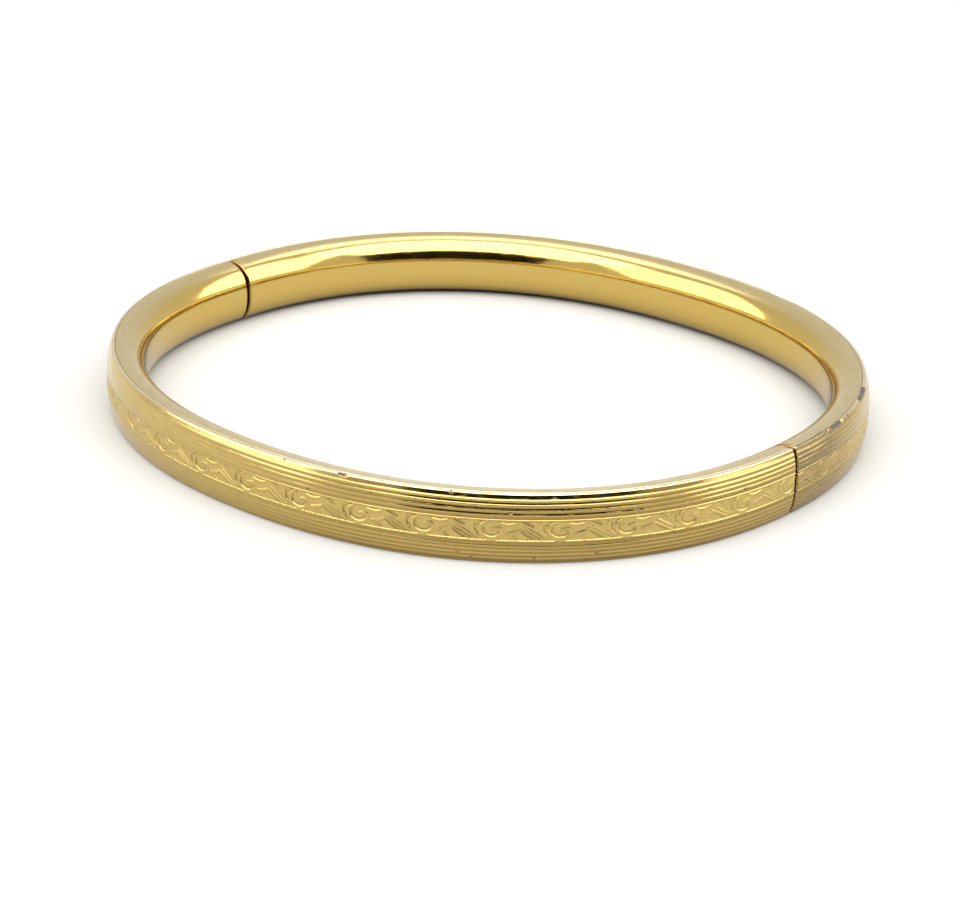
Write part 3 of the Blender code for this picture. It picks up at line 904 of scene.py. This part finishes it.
ornament_gold = engraved_gold()
liner_gold = polished_gold()
barrel_gold = plain_metal("hinge_barrel_gold", GOLD, DULL_GOLD, 0.16, 0.34)
clasp_metal = plain_metal("clasp_brass", BRASS, BRASS_STAIN, 0.24, 0.45)
pin_metal = plain_metal("pin_steel", STEEL, STEEL_STAIN, 0.25, 0.45)

for side in (FRONT, BACK):
    half = HALF[side]
    strip_node = half + "_engraved_strip"
    finish_piece(reeded_strip(side), BODY[side], "engraved_gold", ornament_gold, strip_node)
    finish_piece(scroll_band(side), BODY[side], "engraved_gold", ornament_gold, strip_node)
    finish_piece(liner(side), BODY[side], "plain_gold", liner_gold, half + "_inner_liner")

for number in range(1, 6):
    node = f"hinge_knuckle_{number}"
    body = BODY[FRONT if number % 2 else BACK]
    finish_piece(knuckle(node), body, "plain_gold", barrel_gold, node)
finish_piece(riveted_pin(), BODY[FRONT], "pin_steel", pin_metal, "hinge_pin")

EDGE_WIDTHS = {
    "front_hinge_end_plate": 0.05,
    "front_clasp_end_plate": 0.05,
    "back_hinge_end_plate": 0.05,
    "back_clasp_end_plate": 0.05,
    "front_hinge_leaf": 0.05,
    "back_hinge_leaf": 0.05,
    "catch_box": 0.04,
    "tongue_blade": 0.05,
    "spring_leaf": 0.045,
}
BODY_OF_NODE = {
    node: body for body, nodes in frame["record"]["behaviour"]["bodies"].items() for node in nodes
}
for node, width in EDGE_WIDTHS.items():
    piece = softened(node + "_softened", node, width)
    finish_piece(piece, BODY_OF_NODE[node], "clasp_brass", clasp_metal, node)


# ---------------------------------------------------------------- studio


def flat_card(name, width, height, matrix, material):
    """A flat rectangle that isn't part of the object."""
    sheet = bmesh.new()
    bmesh.ops.create_grid(sheet, x_segments=1, y_segments=1, size=0.5)
    bmesh.ops.scale(sheet, vec=(width, height, 1), verts=sheet.verts)
    mesh = bpy.data.meshes.new(name)
    sheet.to_mesh(mesh)
    sheet.free()
    mesh.materials.append(material)
    card = bpy.data.objects.new(name, mesh)
    card.matrix_world = matrix
    bpy.context.scene.collection.objects.link(card)
    return card


def matte(name, colour, roughness):
    """A plain surface for the floor and the card."""
    material, _, surface = new_material(name)
    surface.inputs["Base Color"].default_value = colour
    surface.inputs["Roughness"].default_value = roughness
    surface.inputs["Specular IOR Level"].default_value = 0.1
    return material


def direction(azimuth_deg, elevation_deg):
    """The direction from the bangle to a place in the studio. Azimuth 0 is the front, at -Y."""
    azimuth, elevation = math.radians(azimuth_deg), math.radians(elevation_deg)
    return Vector(
        (
            math.sin(azimuth) * math.cos(elevation),
            -math.cos(azimuth) * math.cos(elevation),
            math.sin(elevation),
        )
    )


# The camera: angles in degrees, and its distance and aim in millimetres about the bangle's middle
CAMERA_AZIMUTH = 41.0236
CAMERA_ELEVATION = 21.6151
CAMERA_DISTANCE = 221.07
CAMERA_ROLL = 1.5376
CAMERA_LENS = 99.6
CLIP_START = 0.005  # metres
AIM = Vector((CENTRE_X - 0.203, -0.177, -4.7345))

# The dark card that the polished gold reflects: it stands on the floor, on the camera's side
CARD_DISTANCE = 1500
CARD_AZIMUTH = 5  # degrees from the camera's
CARD_WIDTH = 2220
CARD_TOP_DEG = 36  # elevation of its upper edge
CARD_COLOUR = (0.012, 0.010, 0.009, 1)

# The soft lights: azimuth from the camera's, elevation, distance, width, height and radiance
SOFT_LIGHTS = {
    "window": (0, 65, 2600, 4400, 2800, 4.2),
    "left_light": (-84, 30, 2800, 2300, 2200, 2.8),
    "right_light": (90, 30, 2800, 2300, 2200, 3.4),
    "back_light": (180, 64, 2800, 2600, 1000, 2.4),
}
ROOM_COLOUR = (1, 0.99, 0.97, 1)
HORIZON_GLOW = 1.0
ZENITH_GLOW = 0.85
FLOOR_SIZE = 12  # metres
FLOOR_COLOUR = (0.405, 0.402, 0.392, 1)


def place_camera():
    """The camera, aimed a little below the bangle and rolled slightly."""
    data = bpy.data.cameras.new("camera")
    data.lens = CAMERA_LENS
    data.clip_start = CLIP_START
    camera = bpy.data.objects.new("camera", data)
    bpy.context.scene.collection.objects.link(camera)
    towards = direction(CAMERA_AZIMUTH, CAMERA_ELEVATION)
    spot = towards * CAMERA_DISTANCE + Vector((CENTRE_X, 0, 0))
    forward = (AIM - spot).normalized()
    right = forward.cross(Vector((0, 0, 1))).normalized()
    up = right.cross(forward)
    roll = math.radians(CAMERA_ROLL)
    turned_right = right * math.cos(roll) + up * math.sin(roll)
    turned_up = up * math.cos(roll) - right * math.sin(roll)
    axes = Matrix((turned_right, turned_up, -forward)).transposed().to_4x4()
    camera.matrix_world = Matrix.Translation(spot * MM) @ axes
    bpy.context.scene.camera = camera


def facing(azimuth_deg, elevation_deg, distance):
    """The place of a card or a light that looks at the bangle."""
    towards = direction(CAMERA_AZIMUTH + azimuth_deg, elevation_deg)
    turn = towards.to_track_quat("Z", "Y").to_matrix().to_4x4()
    return Matrix.Translation(towards * distance * MM) @ turn


def soft_light(name, azimuth_deg, elevation_deg, distance, width, height, radiance):
    """A large flat light that looks at the bangle."""
    lamp = bpy.data.lights.new(name, "AREA")
    lamp.shape = "RECTANGLE"
    lamp.size = width * MM
    lamp.size_y = height * MM
    lamp.energy = radiance * math.pi * lamp.size * lamp.size_y
    light = bpy.data.objects.new(name, lamp)
    light.matrix_world = facing(azimuth_deg, elevation_deg, distance)
    bpy.context.scene.collection.objects.link(light)


def room_glow():
    """A white room that is brighter near the floor than overhead."""
    world = bpy.data.worlds.new("room")
    world.use_nodes = True
    tree = world.node_tree
    up = add(tree, "SeparateXYZ", {0: add(tree, "TexCoord").outputs["Generated"]}).outputs["Z"]
    background = tree.nodes["Background"]
    background.inputs["Color"].default_value = ROOM_COLOUR
    glow = ranged(tree, up, 0, 1, HORIZON_GLOW, ZENITH_GLOW)
    tree.links.new(glow, background.inputs["Strength"])
    bpy.context.scene.world = world


def light_studio():
    """The room, its soft lights, the floor and the dark card."""
    room_glow()
    for name, values in SOFT_LIGHTS.items():
        soft_light(name, *values)
    floor = matte("pale_floor", FLOOR_COLOUR, 0.9)
    flat_card("floor", FLOOR_SIZE, FLOOR_SIZE, Matrix.Identity(4), floor)
    black = matte("black_card", CARD_COLOUR, 1)
    card_height = 2 * CARD_DISTANCE * math.tan(math.radians(CARD_TOP_DEG / 2))
    place = facing(CARD_AZIMUTH, CARD_TOP_DEG / 2, CARD_DISTANCE)
    card = flat_card("dark_card", CARD_WIDTH * MM, card_height * MM, place, black)
    card.visible_camera = False  # it is there for its reflection in the gold


place_camera()
light_studio()
bpy.context.scene.view_settings.view_transform = "Standard"
